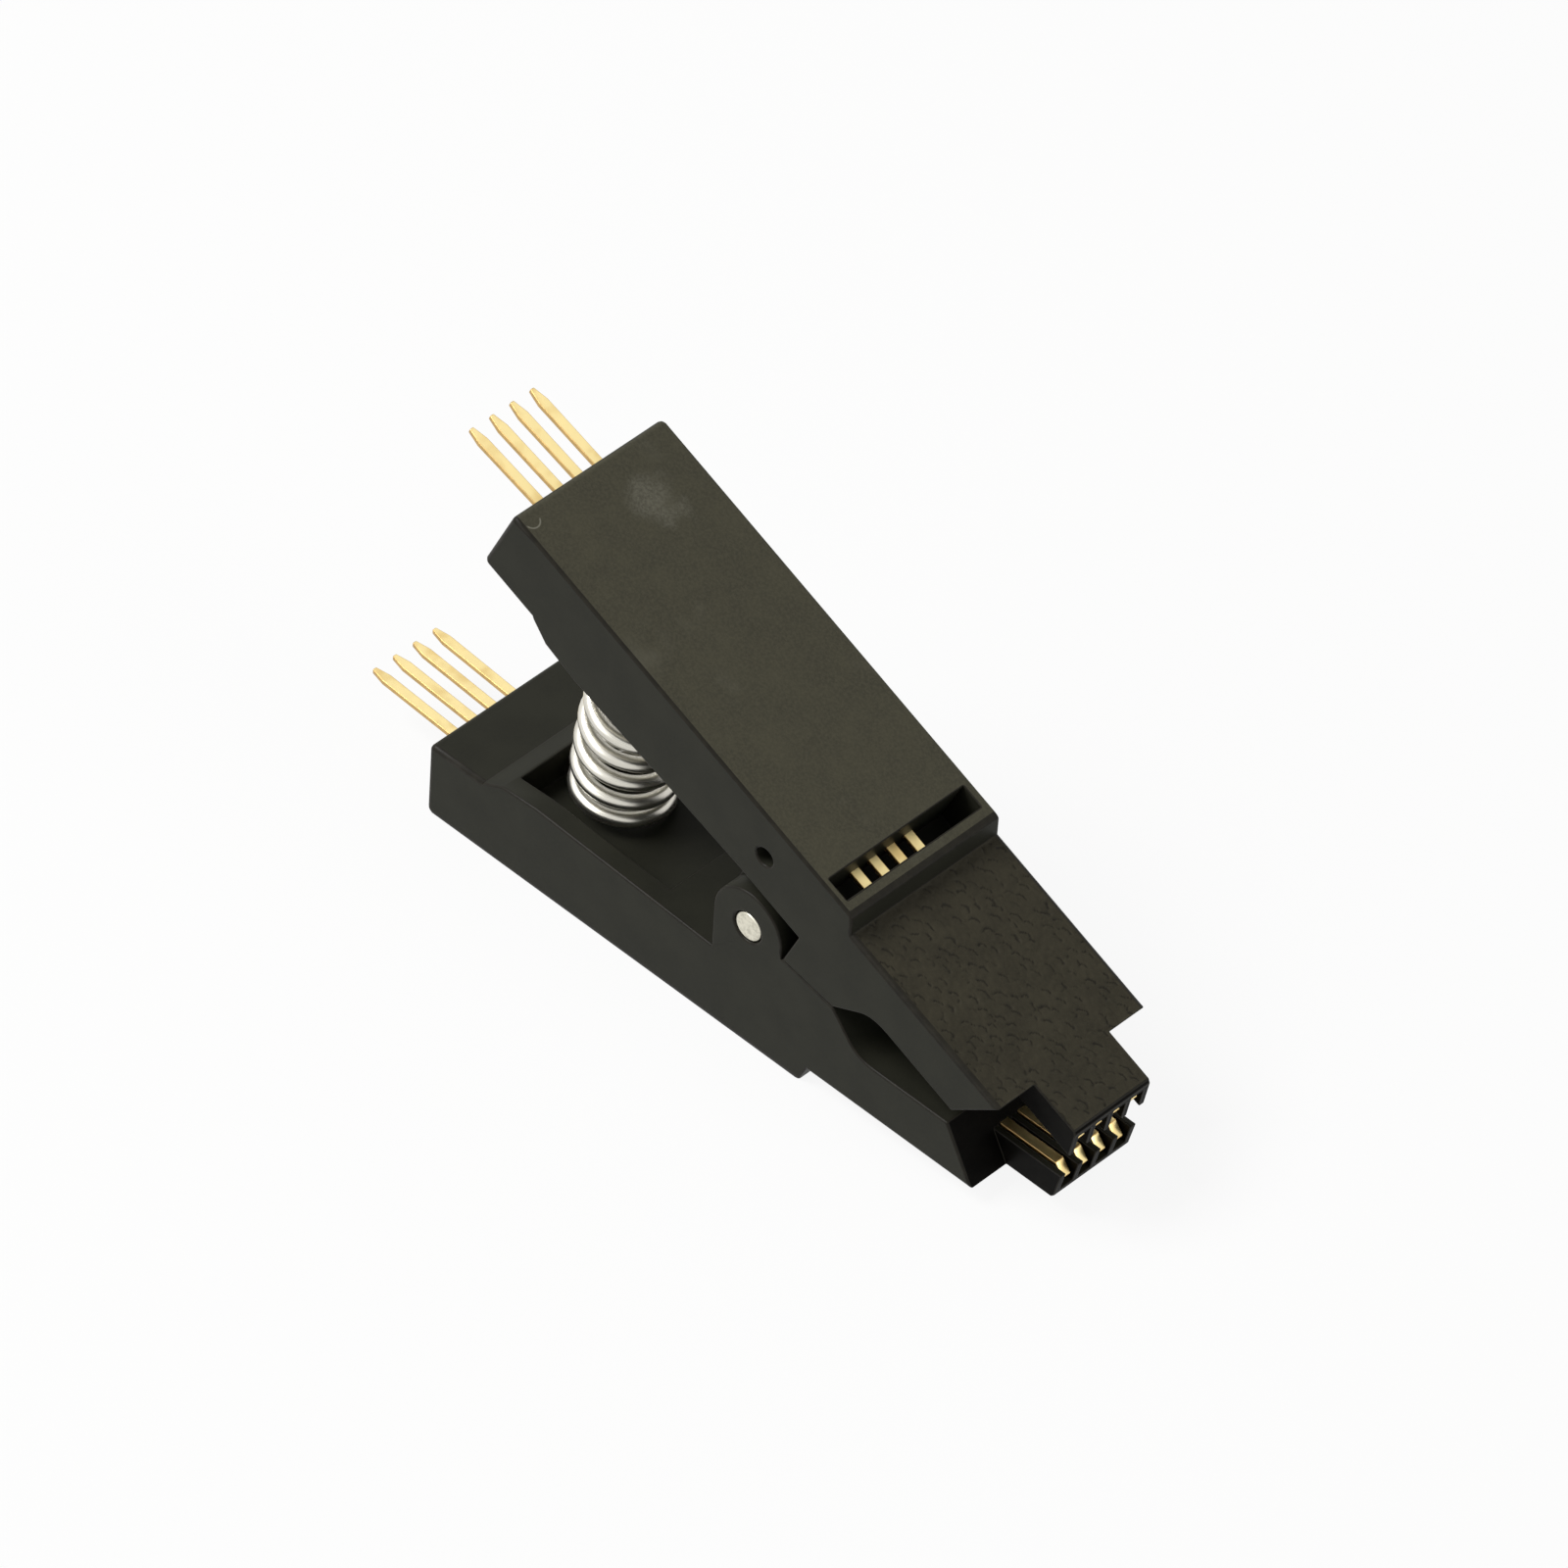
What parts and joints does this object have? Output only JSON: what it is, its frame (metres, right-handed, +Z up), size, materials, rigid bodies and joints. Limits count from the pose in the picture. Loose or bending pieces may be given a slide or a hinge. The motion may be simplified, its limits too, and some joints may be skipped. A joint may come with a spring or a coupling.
{
  "type": "ic test clip",
  "caption": "Spring-loaded black test clip that grips a surface-mount IC with gilt contact strips, with tail pins for a cable.",
  "frame": {"origin": "on the lower jaw's flat outer face, right under the hinge axis, halfway across the clip", "axes": "+X from the hinge to the nose, along the lower jaw's outer face; +Y across the clip, along the hinge pin; +Z up, from the lower jaw to the upper one"},
  "size_m": [0.0497, 0.0106, 0.024],
  "materials": {
    "jaw_plastic": "satin black moulded glass-filled plastic, leather grain on the grips",
    "pin_steel": "ground steel",
    "spring_steel": "bright nickel-plated wire",
    "gilt_brass": "thin gold plating over brass strip"
  },
  "bodies": {
    "lower": {"lower_jaw": "jaw_plastic", "hinge_pin": "pin_steel", "spring": "spring_steel", "lower_contact_1": "gilt_brass", "lower_contact_2": "gilt_brass", "lower_contact_3": "gilt_brass", "lower_contact_4": "gilt_brass"},
    "upper": {"upper_jaw": "jaw_plastic", "upper_contact_1": "gilt_brass", "upper_contact_2": "gilt_brass", "upper_contact_3": "gilt_brass", "upper_contact_4": "gilt_brass"}
  },
  "joints": [
    {"name": "jaw_hinge", "type": "hinge", "parent": "lower", "child": "upper", "pos_m": [0, 0, 0.00788], "axis": [0, -1, 0], "range_deg": [0, 20], "stiffness_Nm_per_rad": 1, "springref_deg": -6.88, "deforming": ["spring"]}
  ]
}
